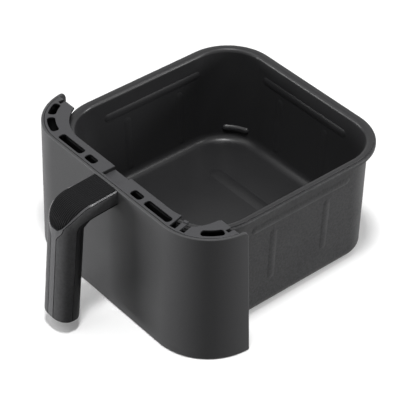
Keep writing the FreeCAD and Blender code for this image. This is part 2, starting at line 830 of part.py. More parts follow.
def strip_half(s):
    """Half width of the front strip: a bezel round the insert, a funnel, then a narrow spine."""
    start = insert_tip() - funnel_lead
    wide = insert_width(min(s, start)) + bezel
    return wide + (spine_half - wide) * smooth((s - start) / funnel_length)


def strip_angle(s, half):
    """Section angle where the front strip of a half width ends."""
    width, height, square = handle_section(s, 0)
    share = min(0.999, half / width)
    return math.acos(share ** (square / 2))


def split_angle(s):
    """Section angle where the side covers meet the inner cover."""
    arm, bend, grip, turn = handle_lengths()
    share = side_split_arm + (side_split_grip - side_split_arm) * smooth((s - arm) / bend)
    square = handle_section(s, 0)[2]
    return math.copysign(math.asin(abs(share) ** (square / 2)), share)


def section_point(s, angle, inset):
    """Point of the handle's section at a length and a section angle, drawn in by an inset."""
    width, height, square = handle_section(s, inset)
    across = math.copysign(abs(math.cos(angle)) ** (2 / square), math.cos(angle)) * width
    out = math.copysign(abs(math.sin(angle)) ** (2 / square), math.sin(angle)) * height
    point, slope = centre_line(s)
    blend = smooth(s / arm_half_height)
    lean = slope * blend - panel_tilt * (1 - blend)
    return point + V(across, -out * math.sin(lean), out * math.cos(lean))


def curve(points):
    """Smooth edge through points."""
    spline = Part.BSplineCurve()
    spline.interpolate(points)
    return spline.toShape()


def stations(start, end):
    """Lengths where sections are drawn, closer in the bend and at the rounded end."""
    arm, bend, grip, turn = handle_lengths()
    total = arm + bend + grip
    marks = [arm * k / 4 for k in range(4)]
    marks += [arm + bend * k / 8 for k in range(9)]
    narrow = insert_tip() - funnel_lead + funnel_length
    marks += [narrow - funnel_length * k / 4 for k in (2, 1, 0)]
    straight = total - end_round - narrow
    marks += [narrow + straight * k / 5 for k in range(1, 6)]
    marks += [total - end_round * share for share in (0.6, 0.25, 0)]
    inner = [s for s in marks if start + fit < s < end - fit]
    return [start] + inner + [end]


def handle_skin(start, end, first, last, depth, top=0.0):
    """Cover between two section angles (given as functions of length), of one thickness."""
    wires = []
    for s in stations(start, end):
        low = first(s)
        high = last(s)
        angles = [low + (high - low) * k / 12 for k in range(13)]
        outside = [section_point(s, angle, top) for angle in angles]
        inside = [section_point(s, angle, depth) for angle in reversed(angles)]
        edges = [curve(outside), Part.makeLine(outside[-1], inside[0])]
        edges += [curve(inside), Part.makeLine(inside[-1], outside[0])]
        wires.append(Part.Wire(edges))
    return Part.makeLoft(wires, True, True)


def handle_bar(start, end, inset):
    """Solid inside the covers."""
    wires = []
    for s in stations(start, end):
        points = [section_point(s, 2 * math.pi * k / 40, inset) for k in range(40)]
        spline = Part.BSplineCurve()
        spline.interpolate(points, PeriodicFlag=True)
        wires.append(Part.Wire(spline.toShape()))
    return Part.makeLoft(wires, True, True)


def handle_total():
    """Whole length of the centre line."""
    return sum(handle_lengths()[:3])


def seam_angle(s):
    """Section angle of half a joint line."""
    return seam / 2 / handle_half


def insert_strip(grow, top):
    """Layer of the handle's outer side that the insert fills, grown by a clearance."""
    end = insert_tip() - tongue_blunt

    def first(s):
        return strip_angle(s, insert_width(min(s, end)) + grow)

    def last(s):
        return math.pi - first(s)

    return handle_skin(0, end + grow, first, last, insert_depth + grow / 2, top)


def grip_insert():
    """Ribbed insert over the arm and the bend."""
    return insert_strip(0, 0)


def handle_spine():
    """Front strip that frames the insert and runs down the grip."""
    def first(s):
        return strip_angle(s, strip_half(s))

    def last(s):
        return math.pi - first(s)

    strip = handle_skin(0, handle_total(), first, last, cover_thick)
    return strip.cut(insert_strip(seam, -overshoot))


def handle_side(side):
    """Gloss side cover; side is 1 right and -1 left."""
    def first(s):
        return split_angle(s) + seam_angle(s)

    def last(s):
        return strip_angle(s, strip_half(s)) - seam_angle(s)

    cover = handle_skin(0, handle_total(), first, last, cover_thick)
    return cover if side > 0 else cover.mirror(V(0, 0, 0), X_AXIS)


def cover_screw_lengths():
    """Places of the cover screws along the centre line."""
    return [handle_total() - lift / math.cos(math.radians(grip_lean)) for lift in cover_screw_lifts]


def inner_direction(s):
    """Direction from the inner cover's face into the core."""
    slope = centre_line(s)[1]
    return V(0, -math.sin(slope), math.cos(slope))


def handle_inner_cover():
    """Cover on the panel's side of the handle."""
    def first(s):
        return -math.pi - split_angle(s) + seam_angle(s)

    def last(s):
        return split_angle(s) - seam_angle(s)

    cover = handle_skin(0, handle_total(), first, last, cover_thick)
    cuts = []
    for s in cover_screw_lengths():
        face = section_point(s, -math.pi / 2, 0)
        into = inner_direction(s)
        cuts.append(rod(face - into, face + into * (cover_thick + overshoot), m3 + screw_play))
        cuts.append(rod(face - into, face + into * cover_head(), m3 * head_ratio + screw_play))
    return cover.cut(cuts)


def cover_head():
    """Depth of the cover screws' counterbore."""
    return m3 * head_height_ratio + screw_play


def handle_core():
    """Moulded core that carries the load from the panel down the grip."""
    core = handle_bar(0, handle_total() - plug_thick - seam, cover_thick + fit)
    holes = []
    out = face_normal()
    for x in (-handle_screw_x, handle_screw_x):
        start = panel_point(x, handle_screw_z, 0)
        holes.append(rod(start, start + out * (fit + handle_thread), m4 + screw_play))
    for s in cover_screw_lengths():
        face = section_point(s, -math.pi / 2, 0)
        holes.append(rod(face, face + inner_direction(s) * (cover_head() + cover_thread), m3 + screw_play))
    return core.cut(holes)


def handle_end_plug():
    """Plug in the handle's lower end."""
    return handle_bar(handle_total() - plug_thick, handle_total() - seam, cover_thick + seam)


def handle_plate():
    """Steel plate on the panel's inner face, under the handle screws' heads."""
    t = handle_plate_thick
    height = (handle_plate_high - handle_plate_low) / math.cos(panel_tilt)
    low = panel_point(0, handle_plate_low, panel_wall)
    plate = box(low + V(-handle_plate_half, 0, 0), low + V(handle_plate_half, t, height))
    plate = plate.rotated(low, X_AXIS, -math.degrees(panel_tilt))
    holes = []
    for x in (-handle_screw_x, handle_screw_x):
        start = panel_point(x, handle_screw_z, 0)
        holes.append(rod(start - face_normal() * panel_wall * 3, start, m4 + screw_play))
    return plate.cut(holes)


def handle_screws():
    """Screws from the plate through the panel into the core."""
    out = face_normal()
    depth = panel_wall * math.cos(panel_tilt) + handle_plate_thick
    length = depth + fit + handle_thread - screw_play
    places = [panel_point(x, handle_screw_z, 0) - out * depth for x in (-handle_screw_x, handle_screw_x)]
    return [screw(m4, length, place, out) for place in places]


def cover_screws():
    """Screws from the inner cover into the core."""
    made = []
    for s in cover_screw_lengths():
        into = inner_direction(s)
        seat = section_point(s, -math.pi / 2, 0) + into * cover_head()
        made.append(screw(m3, cover_thread - screw_play, seat, into))
    return made


def main():
    os.makedirs("parts", exist_ok=True)
    nodes = {
        "outer_pan": outer_pan(),
        "cooking_pot": cooking_pot(),
        "pan_bracket": pan_bracket(),
        "weld_nuts": Part.makeCompound(weld_nuts()),
        "bracket_screws": Part.makeCompound(bracket_screws()),
        "front_panel": front_panel(),
        "inner_wall": inner_wall(),
        "top_cap": top_cap(),
        "bottom_rail": bottom_rail(),
        "wall_screws": Part.makeCompound(wall_screws()),
        "cap_screws": Part.makeCompound(cap_screws()),
        "rail_screws": Part.makeCompound(rail_screws()),
        "catch_finger": catch_finger(),
        "handle_core": handle_core(),
        "handle_left_cover": handle_side(-1),
        "handle_right_cover": handle_side(1),
        "handle_inner_cover": handle_inner_cover(),
        "handle_spine": handle_spine(),
        "grip_insert": grip_insert(),
        "handle_end_plug": handle_end_plug(),
        "handle_plate": handle_plate(),
        "handle_screws": Part.makeCompound(handle_screws()),
        "cover_screws": Part.makeCompound(cover_screws()),
    }
    for name, shape in nodes.items():
        solids = len(shape.Solids)
        print(name, "solids", solids, "valid", shape.isValid(), "volume", round(shape.Volume))
        shape.exportStep("parts/" + name + ".step")


main()
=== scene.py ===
"""Looks of the air fryer drawer: its finishes, front panel, handle, light and camera."""
import logging
import math
from dataclasses import dataclass, field
from enum import Enum

import bmesh
import bpy
import numpy as np
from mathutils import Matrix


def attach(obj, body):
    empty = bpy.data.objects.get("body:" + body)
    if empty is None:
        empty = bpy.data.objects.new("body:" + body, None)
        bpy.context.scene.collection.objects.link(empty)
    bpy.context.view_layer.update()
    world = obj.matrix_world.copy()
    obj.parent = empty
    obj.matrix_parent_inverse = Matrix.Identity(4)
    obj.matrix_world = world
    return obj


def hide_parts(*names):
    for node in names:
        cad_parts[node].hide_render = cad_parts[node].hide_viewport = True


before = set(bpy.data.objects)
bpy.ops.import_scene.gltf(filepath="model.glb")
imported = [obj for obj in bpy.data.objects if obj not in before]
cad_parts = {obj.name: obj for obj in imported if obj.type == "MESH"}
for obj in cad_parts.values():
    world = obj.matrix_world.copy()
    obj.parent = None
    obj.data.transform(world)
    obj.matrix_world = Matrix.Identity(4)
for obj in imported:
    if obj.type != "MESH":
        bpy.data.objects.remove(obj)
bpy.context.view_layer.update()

MM = 0.001
LOG = logging.getLogger("drawer")
WHITE = "ffffff"
# Most values of a noise texture lie between these two.
NOISE_LOW, NOISE_HIGH = 0.3, 0.7
# Edges that turn by more than this stay sharp, or get the piece's bevel.
SHARP = math.radians(38.0)
# Points that are closer than this, in metres, are one point.
MERGE = 1e-6

Vector = tuple[float, float, float]


def linear(hex_colour: str) -> tuple[float, float, float, float]:
    """Turn an sRGB hex colour into linear RGBA by the sRGB curve.

    Args:
        hex_colour: six hex digits.

    Returns:
        The colour as Blender's sockets take it.
    """
    shares = np.array([int(hex_colour[k:k + 2], 16) for k in (0, 2, 4)]) / 255.0
    low = shares / 12.92
    high = ((shares + 0.055) / 1.055) ** 2.4
    return (*np.where(shares <= 0.04045, low, high).tolist(), 1.0)


def add_node(tree: bpy.types.NodeTree, kind: str, inputs: dict[str | int, object] | None = None,
             **settings: object) -> bpy.types.Node:
    """Add a node with its settings, constants and links.

    Args:
        tree: the material's or world's node tree.
        kind: the node's type name.
        inputs: socket name or number to a constant or to another node's output socket.
        settings: attributes of the node.

    Returns:
        The new node.
    """
    node = tree.nodes.new(kind)
    for name, value in settings.items():
        setattr(node, name, value)
    for name, value in (inputs or {}).items():
        if isinstance(value, bpy.types.NodeSocket):
            tree.links.new(value, node.inputs[name])
        else:
            node.inputs[name].default_value = value
    return node


@dataclass(frozen=True)
class Finish:
    """A surface finish: a Principled shader with noise in its colour, roughness and bump.

    Two grains are drawn on Object coordinates: a fine one from the making of the surface, and a
    broad one that varies the roughness a little, as handling and spraying do. Where a height is
    set for it, upright walls below that height get a near-black colour: painted shade, standing in
    for the shade in slots and under steps.
    """

    name: str
    colour: str
    roughness: float
    metallic: float = 0.0
    specular: float = 0.5
    grain_mm: float = 0.8
    grain_depth_mm: float = 0.02
    broad_mm: float = 45.0
    colour_spread: float = 0.12
    roughness_spread: float = 0.06
    # These three paint shade: a near-black colour on upright walls below a height, for the shade
    # in slots and under steps.
    shade_colour: str = "0a0a0b"
    shade_below_mm: float = 0.0
    shade_fade_mm: float = 0.5

    def material(self) -> bpy.types.Material:
        """Build the material, or find it if it is already there.

        Returns:
            The material.
        """
        made = bpy.data.materials.get(self.name)
        if made:
            return made
        made = bpy.data.materials.new(self.name)
        made.use_nodes = True
        tree = made.node_tree
        tree.nodes.clear()
        place = add_node(tree, "ShaderNodeTexCoord").outputs["Object"]
        fine = add_node(tree, "ShaderNodeTexNoise", {
            "Vector": place, "Scale": 1.0 / (self.grain_mm * MM), "Detail": 2.0,
            "Roughness": 0.6})
        broad = add_node(tree, "ShaderNodeTexNoise", {
            "Vector": place, "Scale": 1.0 / (self.broad_mm * MM), "Detail": 3.0,
            "Roughness": 0.55})
        tint = self.tint(tree, fine.outputs["Fac"])
        # Painted shade: upright walls below the set height turn near black.
        if self.shade_below_mm:
            tint = self.paint_shade_on_walls(tree, tint)
        sheen = add_node(tree, "ShaderNodeMapRange", {
            "Value": broad.outputs["Fac"], "From Min": NOISE_LOW, "From Max": NOISE_HIGH,
            "To Min": self.roughness - self.roughness_spread,
            "To Max": self.roughness + self.roughness_spread})
        bump = add_node(tree, "ShaderNodeBump", {
            "Height": fine.outputs["Fac"], "Strength": 1.0, "Distance": self.grain_depth_mm * MM})
        shader = add_node(tree, "ShaderNodeBsdfPrincipled", {
            "Base Color": tint, "Roughness": sheen.outputs["Result"], "Metallic": self.metallic,
            "Specular IOR Level": self.specular, "Normal": bump.outputs["Normal"]})
        add_node(tree, "ShaderNodeOutputMaterial", {"Surface": shader.outputs["BSDF"]})
        return made

    def tint(self, tree: bpy.types.NodeTree, grain: bpy.types.NodeSocket) -> bpy.types.NodeSocket:
        """Vary the base colour a little with the grain.

        Args:
            tree: the material's node tree.
            grain: the fine noise.

        Returns:
            The varied colour.
        """
        base = np.array(linear(self.colour)[:3])
        ramp = add_node(tree, "ShaderNodeValToRGB", {"Fac": grain})
        stops = ((NOISE_LOW, 1.0 - self.colour_spread), (NOISE_HIGH, 1.0 + self.colour_spread))
        for element, (position, share) in zip(ramp.color_ramp.elements, stops):
            element.position = position
            element.color = (*(base * share).tolist(), 1.0)
        return ramp.outputs["Color"]

    def paint_shade_on_walls(self, tree: bpy.types.NodeTree,
                   tint: bpy.types.NodeSocket) -> bpy.types.NodeSocket:
        """Paint shade on upright walls below a height: a near-black colour stands in for the shade
        in the slots and under the steps.

        Args:
            tree: the material's node tree.
            tint: the colour of the top face.

        Returns:
            The colour with bare walls.
        """
        place = add_node(tree, "ShaderNodeTexCoord")
        height = add_node(tree, "ShaderNodeSeparateXYZ", {"Vector": place.outputs["Object"]})
        facing = add_node(tree, "ShaderNodeSeparateXYZ", {"Vector": place.outputs["Normal"]})
        level = self.shade_below_mm * MM
        deep = add_node(tree, "ShaderNodeMapRange", {
            "Value": height.outputs["Z"], "From Min": level - self.shade_fade_mm * MM,
            "From Max": level, "To Min": 1.0, "To Max": 0.0})
        # A normal's Z is 0 on an upright wall and 1 on a level face.
        upright = add_node(tree, "ShaderNodeMapRange", {
            "Value": facing.outputs["Z"], "From Min": 0.3, "From Max": 0.7,
            "To Min": 1.0, "To Max": 0.0})
        share = add_node(tree, "ShaderNodeMath", {
            0: deep.outputs["Result"], 1: upright.outputs["Result"]}, operation="MULTIPLY")
        # Mix in the near-black painted shade.
        mixed = add_node(tree, "ShaderNodeMixRGB", {
            "Fac": share.outputs[0], "Color1": tint, "Color2": linear(self.shade_colour)})
        return mixed.outputs["Color"]


class Finishes(Enum):
    """The drawer's finishes, each named for its material and how its surface was made; the cap's
    name also tells of its painted shade.

    Most of the dark ones have a low specular level, so that the white floor doesn't veil them.
    """

    # Coating sprayed on pressed steel and baked: matt, with the mottle of a fine orange peel. Its
    # grain is drawn at 2 mm, several times as coarse as the real one, because that wouldn't show.
    PAN_COAT = Finish("baked_coating_on_steel", "2b2b2c", 0.5, specular=0.2, grain_mm=2.0,
                      grain_depth_mm=0.05, colour_spread=0.5)
    # Non-stick coating rolled on steel: a little darker and smoother, so corners catch the light.
    POT_COAT = Finish("nonstick_coating_on_steel", "272728", 0.34, specular=0.25, grain_mm=0.9,
                      grain_depth_mm=0.012)
    # Dark metallic lacquer over moulded ABS: smooth satin that grades softly round the corners.
    PANEL = Finish("metallic_lacquer_on_abs", "4a4a4b", 0.45, specular=0.08, grain_mm=0.5,
                   grain_depth_mm=0.004)
    # PBT with a spark-eroded grain. Its upright walls below the top, in its slots and at its step,
    # are drawn near black: painted shade.
    CAP = Finish("grained_pbt_painted_shade_in_slots", "3a3a3c", 0.46, specular=0.3, grain_mm=0.6,
                 grain_depth_mm=0.02, shade_below_mm=129.7)
    # The same PBT without the painted shade: the catch lies below the cap's top and is as pale as
    # the cap's top.
    CATCH = Finish("grained_pbt", "3a3a3c", 0.46, specular=0.3, grain_mm=0.6, grain_depth_mm=0.02)
    # Black polypropylene as moulded: dull, and mostly out of sight.
    INNER = Finish("moulded_black_pp", "0e0e0f", 0.5, specular=0.12, grain_mm=0.9,
                   grain_depth_mm=0.02)
    # Dark ABS from a polished mould: even, with next to no grain.
    GLOSS = Finish("polished_dark_abs", "4f4f50", 0.35, specular=0.03, grain_mm=2.5,
                   grain_depth_mm=0.001, roughness_spread=0.02)
    # Metallic lacquer on the handle's strip: smoother, so that its flat rails catch a bright line.
    SPINE = Finish("metallic_lacquer_on_strip", "454547", 0.17, specular=0.45, grain_mm=0.5,
                   grain_depth_mm=0.006)
    # Thermoplastic rubber as moulded: matt, nearly black, so that only its ridges show.
    RUBBER = Finish("moulded_rubber", "1d1d1e", 0.42, specular=0.03, grain_mm=0.5,
                    grain_depth_mm=0.01)
    # Bright zinc plating on steel.
    ZINC = Finish("zinc_plated_steel", "b4b5b8", 0.32, metallic=1.0, grain_mm=0.4,
                  grain_depth_mm=0.004)


NODE_FINISH = {
    "outer_pan": Finishes.PAN_COAT,
    "cooking_pot": Finishes.POT_COAT,
    "front_panel": Finishes.PANEL,
    "top_cap": Finishes.CAP,
    "catch_finger": Finishes.CATCH,
    "inner_wall": Finishes.INNER,
    "bottom_rail": Finishes.INNER,
    "handle_left_cover": Finishes.GLOSS,
    "handle_right_cover": Finishes.GLOSS,
    "handle_inner_cover": Finishes.INNER,
    "handle_end_plug": Finishes.INNER,
    "handle_core": Finishes.INNER,
    "handle_spine": Finishes.SPINE,
    "grip_insert": Finishes.RUBBER,
}


def dress_nodes() -> None:
    """Give every CAD node its finish; fasteners and brackets are zinc plated."""
    for name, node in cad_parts.items():
        finish = NODE_FINISH.get(name, Finishes.ZINC).value
        node.data.materials.clear()
        node.data.materials.append(finish.material())
        LOG.info("dressed %s with %s", name, finish.name)


def smooth(share: np.ndarray) -> np.ndarray:
    """Soft step from 0 to 1: three times the square less twice the cube of the clipped share.

    Args:
        share: how far along the step.

    Returns:
        The step's height.
    """
    share = np.clip(share, 0.0, 1.0)
    return share * share * (3.0 - 2.0 * share)


def quads(grid: np.ndarray) -> np.ndarray:
    """Quads of a grid of vertex numbers, one per cell.

    Args:
        grid: vertex numbers in rows and columns.

    Returns:
        One row of four numbers per cell.
    """
    cells = (grid[:-1, :-1], grid[1:, :-1], grid[1:, 1:], grid[:-1, 1:])
    return np.stack([cell.ravel() for cell in cells], axis=1)


def shell(outside: np.ndarray, inside: np.ndarray,
          keep: np.ndarray | None = None) -> tuple[np.ndarray, np.ndarray]:
    """Closed shell between two grids of the same size, with a window where cells are left out.

    Args:
        outside: points of the outer face, rows by columns by 3, in millimetres.
        inside: points of the inner face.
        keep: which cells are there; all of them if not given.

    Returns:
        The points in use, and quads for both faces and for every edge strip.
    """
    rows, columns = outside.shape[:2]
    keep = np.ones((rows - 1, columns - 1), bool) if keep is None else keep
    top = np.arange(rows * columns).reshape(rows, columns)
    under = top + rows * columns
    ring = np.pad(keep, 1)
    strips = []
    for open_side, first, second in (
            (ring[:-2, 1:-1], top[:-1, :-1], top[:-1, 1:]),
            (ring[2:, 1:-1], top[1:, 1:], top[1:, :-1]),
            (ring[1:-1, :-2], top[1:, :-1], top[:-1, :-1]),
            (ring[1:-1, 2:], top[:-1, 1:], top[1:, 1:])):
        edge = keep & ~open_side
        pair = np.stack([first[edge], second[edge]], axis=1)
        strips.append(np.concatenate([pair, pair[:, ::-1] + rows * columns], axis=1))
    cells = keep.ravel()
    faces = np.concatenate([quads(top)[cells], quads(under)[cells][:, ::-1], *strips])
    used, faces = np.unique(faces, return_inverse=True)
    points = np.concatenate([outside.reshape(-1, 3), inside.reshape(-1, 3)])
    return points[used], faces.reshape(-1, 4)


@dataclass
class Piece:
    """A new piece that stands for CAD nodes."""

    name: str
    finish: Finishes
    slot: str
    stands_for: tuple[str, ...]
    body: str = "drawer"
    bevel_mm: float = 0.0
    bevel_segments: int = 3

    def make(self, points: np.ndarray, faces: np.ndarray) -> None:
        """Put points and faces into a mesh, dress it and let it ride.

        Args:
            points: vertices in millimetres.
            faces: quads.
        """
        mesh = bpy.data.meshes.new(self.name)
        mesh.from_pydata((points * MM).tolist(), [], faces.tolist())
        work = bmesh.new()
        work.from_mesh(mesh)
        bmesh.ops.remove_doubles(work, verts=work.verts, dist=MERGE)
        bmesh.ops.recalc_face_normals(work, faces=work.faces)
        work.to_mesh(mesh)
        work.free()
        mesh.shade_smooth()
        mesh.set_sharp_from_angle(angle=SHARP)
        made = bpy.data.objects.new(self.name, mesh)
        bpy.context.scene.collection.objects.link(made)
        if self.bevel_mm:
            edge = made.modifiers.new("edge", "BEVEL")
            edge.width = self.bevel_mm * MM
            edge.segments = self.bevel_segments
            edge.limit_method = "ANGLE"
            edge.angle_limit = SHARP
        mesh.materials.append(self.finish.value.material())
        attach(made, self.body)
        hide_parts(*self.stands_for)
        LOG.info("built %s: %d faces", self.name, len(faces))


@dataclass
class FrontPanel:
    """Curved front: an outline of corner arc, straight and corner arc that grows to the foot.

    Sizes in millimetres, as in the solids.
    """

    half: float = 126.9
    front: float = 125.5
    corner: float = 49.8
    flare: float = 5.4
    side_flare: float = 3.4
    wall: float = 2.6
    bottom: float = 0.6
    top: float = 130.3
    end_round: float = 5.5
    edge_bevel: float = 0.8
    corner_columns: int = 49
    straight_columns: int = 41
    rows: int = 41

    def outline(self, turn: np.ndarray, run: np.ndarray, z: np.ndarray,
                inset: float) -> np.ndarray:
        """Points of the face at heights z.

        The corner arc's centre moves with the height; a column's turn is its angle on the arc,
        counted from the front towards the side, and run is its share of the straight, -1 left to
        1 right.

        Args:
            turn: angle of each column, signed to the right.
            run: place of each column along the straight.
            z: heights, rows by columns.
            inset: how far the face is drawn in.

        Returns:
            Points, rows by columns by 3.
        """
        drop = (self.top - z) / (self.top - self.bottom)
        radius = self.corner + self.flare * drop - inset
        centre_x = self.half + self.side_flare * drop - self.corner - self.flare * drop
        x = run * centre_x + radius * np.sin(turn)
        y = -(self.front - self.corner) - radius * np.cos(turn)
        return np.stack([x, y, z], axis=-1)

    def build(self) -> None:
        """Build the panel as a shell whose upper rear corners are quarter circles."""
        quarter = np.linspace(0.0, math.pi / 2, self.corner_columns)
        straight = np.linspace(-1.0, 1.0, self.straight_columns)[1:-1]
        turn = np.concatenate([-quarter[::-1], np.zeros(straight.size), quarter])
        run = np.concatenate([-np.ones(quarter.size), straight, np.ones(quarter.size)])
        from_end = self.corner * (math.pi / 2 - np.abs(turn))
        to_end = np.clip(self.end_round - from_end, 0.0, self.end_round)
        ceiling = self.top - self.end_round + np.sqrt(self.end_round ** 2 - to_end ** 2)
        share = np.linspace(0.0, 1.0, self.rows)[:, None]
        z = self.bottom + share * (ceiling - self.bottom)[None, :]
        outside = self.outline(turn, run, z, 0.0)
        inside = self.outline(turn, run, z, self.wall)
        piece = Piece("curved_front", Finishes.PANEL, "panel_plastic", ("front_panel",),
                      bevel_mm=self.edge_bevel)
        piece.make(*shell(outside, inside))


@dataclass
class Handle:
    """Covers, spine and insert of the handle: a rounded section carried along arm, bend and grip.

    The section at a length s is a superellipse whose half height and squareness change through
    the bend. Sizes in millimetres, as in the solids, apart from the seams of the strip. The
    insert's ridges are a little higher and wider than they look in the photo, so that they show.
    """

    half: float = 17.0
    arm_half_height: float = 8.25
    grip_half_depth: float = 12.5
    arm_squareness: float = 7.0
    grip_squareness: float = 2.4
    root_y: float = -126.152
    root_z: float = 121.85
    reach: float = 40.5
    slope: float = math.radians(3.5)
    lean: float = math.radians(6.3)
    drop: float = 107.4
    bend_radius: float = 16.0
    change_lead: float = 5.42
    tilt: float = math.atan2(FrontPanel.flare, FrontPanel.top - FrontPanel.bottom)
    thick: float = 3.0
    end_round: float = 2.2
    bezel: float = 1.5
    insert_half: float = 15.0
    insert_depth: float = 2.0
    tongue: float = 17.0
    tongue_past_bend: float = 0.5
    tongue_blunt: float = 0.6
    spine_half: float = 3.3
    funnel_lead: float = 3.0
    funnel: float = 13.0
    split_arm: float = -0.62
    split_grip: float = 0.1
    seam: float = 0.3
    cover_gap: float = 0.7
    cover_bevel: float = 0.35
    ridges: int = 16
    ridge_height: float = 0.65
    groove: float = 0.7
    groove_width: float = 0.9
    widest_share: float = 0.9995
    arm_rows: int = 13
    bend_rows: int = 33
    grip_rows: int = 49
    end_rows: int = 9
    insert_rows: int = 81
    side_columns: int = 33
    inner_columns: int = 57
    rail_columns: int = 9
    middle_columns: int = 17
    columns_per_ridge: int = 10
    turn: float = field(init=False)
    arm: float = field(init=False)
    bend: float = field(init=False)
    total: float = field(init=False)
    tip: float = field(init=False)
    insert_end: float = field(init=False)
    window_end: float = field(init=False)

    def __post_init__(self) -> None:
        """Work out lengths along the centre line: arm, bend, whole, insert and strip's window."""
        self.turn = math.pi / 2 - self.slope - self.lean
        tangent = self.bend_radius * math.tan(self.turn / 2)
        self.arm = self.reach / math.cos(self.slope) - tangent
        self.bend = self.bend_radius * self.turn
        self.total = self.arm + self.bend + self.drop / math.cos(self.lean) - tangent
        self.tip = self.arm + self.bend + self.tongue_past_bend
        self.insert_end = self.tip - self.tongue_blunt
        self.window_end = self.insert_end + self.seam

    def centre_line(self, s: np.ndarray) -> tuple[np.ndarray, np.ndarray, np.ndarray]:
        """Straight arm, circular bend, straight grip.

        Args:
            s: lengths along the centre line.

        Returns:
            y, z and the downward angle at each length.
        """
        first = np.minimum(s, self.arm)
        angle = self.slope + self.turn * np.clip((s - self.arm) / self.bend, 0.0, 1.0)
        rest = np.maximum(0.0, s - self.arm - self.bend)
        y = self.root_y - first * math.cos(self.slope) - rest * np.cos(angle)
        z = self.root_z - first * math.sin(self.slope) - rest * np.sin(angle)
        y = y + self.bend_radius * (math.sin(self.slope) - np.sin(angle))
        z = z + self.bend_radius * (np.cos(angle) - math.cos(self.slope))
        return y, z, angle

    def section(self, s: np.ndarray, inset: float) -> tuple[np.ndarray, np.ndarray, np.ndarray]:
        """Size of the section; at the lower end it is tucked in along a quarter circle.

        Args:
            s: lengths along the centre line.
            inset: how far the section is drawn in.

        Returns:
            Half width, half height and squareness at each length.
        """
        change = smooth((s - self.arm + self.change_lead) / (self.bend + self.change_lead))
        height = self.arm_half_height + (self.grip_half_depth - self.arm_half_height) * change
        square = self.arm_squareness + (self.grip_squareness - self.arm_squareness) * change
        left = np.clip(self.end_round - (self.total - s), 0.0, self.end_round)
        tuck = np.zeros_like(left)
        if inset < self.end_round:
            tuck = self.end_round - np.sqrt(self.end_round ** 2 - left ** 2)
        return self.half - inset - tuck, height - inset - tuck, square

    def surface(self, s: np.ndarray, angle: np.ndarray, inset: float,
                raised: np.ndarray | float = 0.0) -> np.ndarray:
        """Points of the handle's section.

        Across is the cosine's power 2/n times the half width, outwards the sine's power 2/n times
        the half height, both kept signed; the section stands square to the centre line, and
        parallel to the panel at the root.

        Args:
            s: lengths along the centre line.
            angle: section angles, 90 degrees pointing outwards.
            inset: how far the section is drawn in.
            raised: extra height outwards.

        Returns:
            Points by 3.
        """
        width, height, square = self.section(s, inset)
        power = 2.0 / square
        across = np.sign(np.cos(angle)) * np.abs(np.cos(angle)) ** power * width
        out = np.sign(np.sin(angle)) * np.abs(np.sin(angle)) ** power * height + raised
        y, z, slope = self.centre_line(s)
        blend = smooth(s / self.arm_half_height)
        lean = slope * blend - self.tilt * (1.0 - blend)
        parts = np.broadcast_arrays(across, y - out * np.sin(lean), z + out * np.cos(lean))
        return np.stack(parts, axis=-1)

    def insert_width(self, s: np.ndarray) -> np.ndarray:
        """Half width of the insert: full over the arm, then a quarter of an ellipse to the tip.

        Args:
            s: lengths along the centre line.

        Returns:
            Half width at each length.
        """
        share = np.clip((s - self.tip + self.tongue) / self.tongue, 0.0, 1.0)
        return self.insert_half * np.sqrt(1.0 - share ** 2)

    def strip_half(self, s: np.ndarray) -> np.ndarray:
        """Half width of the strip: a bezel round the insert, a soft funnel, then the spine.

        Args:
            s: lengths along the centre line.

        Returns:
            Half width at each length.
        """
        start = self.tip - self.funnel_lead
        wide = self.insert_width(np.minimum(s, start)) + self.bezel
        return wide + (self.spine_half - wide) * smooth((s - start) / self.funnel)

    def angle_at(self, s: np.ndarray, across: np.ndarray) -> np.ndarray:
        """Section angle on the outer side: the superellipse's cosine solved for its angle.

        Args:
            s: lengths along the centre line.
            across: signed distances from the middle.

        Returns:
            Section angles; just short of the widest line at most.
        """
        width, _, square = self.section(s, 0.0)
        share = np.clip(np.abs(across) / width, 0.0, self.widest_share)
        angle = np.arccos(share ** (square / 2.0))
        return np.where(across >= 0.0, angle, math.pi - angle)

    def out_at(self, s: np.ndarray, across: np.ndarray) -> np.ndarray:
        """Height of the section's outer side: the superellipse solved for it.

        Args:
            s: lengths along the centre line.
            across: distances from the middle.

        Returns:
            Heights above the centre line.
        """
        width, height, square = self.section(s, 0.0)
        share = np.clip(np.abs(across) / width, 0.0, 1.0)
        return height * (1.0 - share ** square) ** (1.0 / square)

    def split_angle(self, s: np.ndarray) -> np.ndarray:
        """Section angle where the side covers meet the inner cover, from its share of the height.

        Args:
            s: lengths along the centre line.

        Returns:
            Section angles on the right.
        """
        change = smooth((s - self.arm) / self.bend)
        share = self.split_arm + (self.split_grip - self.split_arm) * change
        square = self.section(s, 0.0)[2]
        return np.sign(share) * np.arcsin(np.abs(share) ** (square / 2.0))

    def lengths(self) -> np.ndarray:
        """Lengths of the rows: even, but closer in the bend and at the rounded end.

        Returns:
            A column of lengths, with one at the end of the strip's window.
        """
        past_bend = self.arm + self.bend
        end_turn = np.linspace(0.0, math.pi / 2, self.end_rows)
        parts = [np.linspace(0.0, self.arm, self.arm_rows),
                 np.linspace(self.arm, past_bend, self.bend_rows),
                 np.array([self.window_end]),
                 np.linspace(past_bend, self.total - self.end_round, self.grip_rows),
                 self.total - self.end_round * np.cos(end_turn)]
        # Rounded to a nanometre, so that lengths that two parts share are one row.
        return np.unique(np.concatenate(parts).round(6))[:, None]

    def half_seam(self) -> float:
        """Half a seam as a section angle: its width over the half width of the section."""
        return self.seam / 2.0 / self.half

    def cover(self, piece: Piece, first: np.ndarray, last: np.ndarray, columns: int) -> None:
        """Shell between two section angles, of one thickness.

        Args:
            piece: what the cover is.
            first: section angle of one long edge at each length.
            last: section angle of the other.
            columns: points across.
        """
        s = self.lengths()
        angle = first + (last - first) * np.linspace(0.0, 1.0, columns)[None, :]
        piece.make(*shell(self.surface(s, angle, 0.0), self.surface(s, angle, self.thick)))

